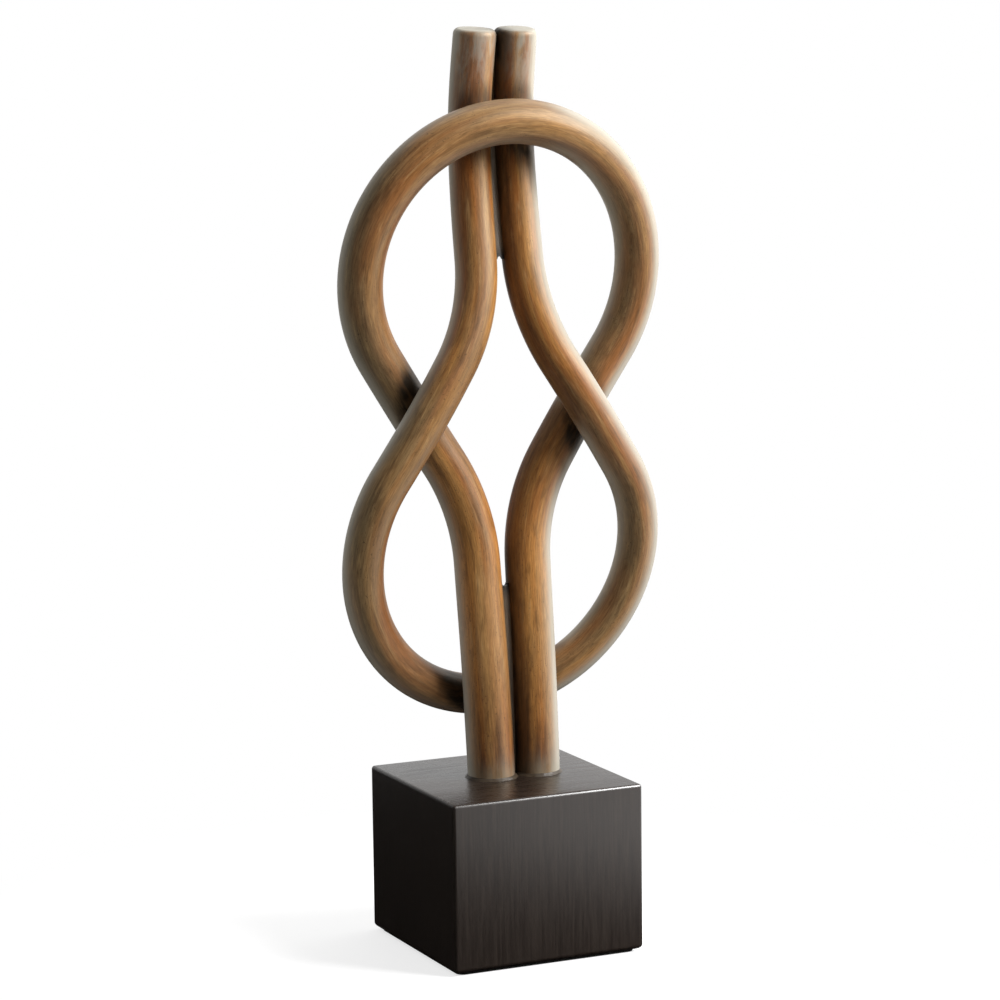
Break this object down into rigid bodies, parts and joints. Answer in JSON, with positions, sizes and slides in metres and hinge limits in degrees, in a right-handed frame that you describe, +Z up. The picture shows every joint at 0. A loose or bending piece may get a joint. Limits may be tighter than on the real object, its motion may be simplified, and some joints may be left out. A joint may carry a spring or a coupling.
{
  "type": "rattan knot sculpture",
  "caption": "Free-standing ornament: bent rattan poles tied in a square knot, their feet set in a dark stained wooden block with mitred boards and a felt underside.",
  "frame": {"origin": "middle of the underside of the felt, under the middle of the base", "axes": "+Z up, +Y to the back, +X to the right as seen from the front, with the broad side of the knot facing -Y"},
  "size_m": [0.1754, 0.102, 0.4554],
  "materials": {
    "rattan": "peeled, stained and hand-rubbed satin",
    "glue": "dark glossy glue and filler",
    "ebonised_wood": "near-black stain under satin lacquer",
    "core_wood": "bare sawn wood",
    "steel": "zinc plated",
    "felt": "pressed wool felt"
  },
  "bodies": {
    "root": {"standing_pole": "rattan", "hanging_pole": "rattan", "lower_leg_filler": "glue", "upper_leg_filler": "glue", "foot_glue_bead": "glue", "base_core": "core_wood", "base_panel_top": "ebonised_wood", "base_panel_front": "ebonised_wood", "base_panel_right": "ebonised_wood", "base_panel_back": "ebonised_wood", "base_panel_left": "ebonised_wood", "base_felt": "felt", "foot_screw_left": "steel", "foot_screw_right": "steel", "foot_washer_left": "steel", "foot_washer_right": "steel", "crossing_pin_top_left": "steel", "crossing_pin_top_right": "steel", "crossing_pin_waist_left": "steel", "crossing_pin_waist_right": "steel", "crossing_pin_bottom_left": "steel", "crossing_pin_bottom_right": "steel"}
  },
  "joints": []
}
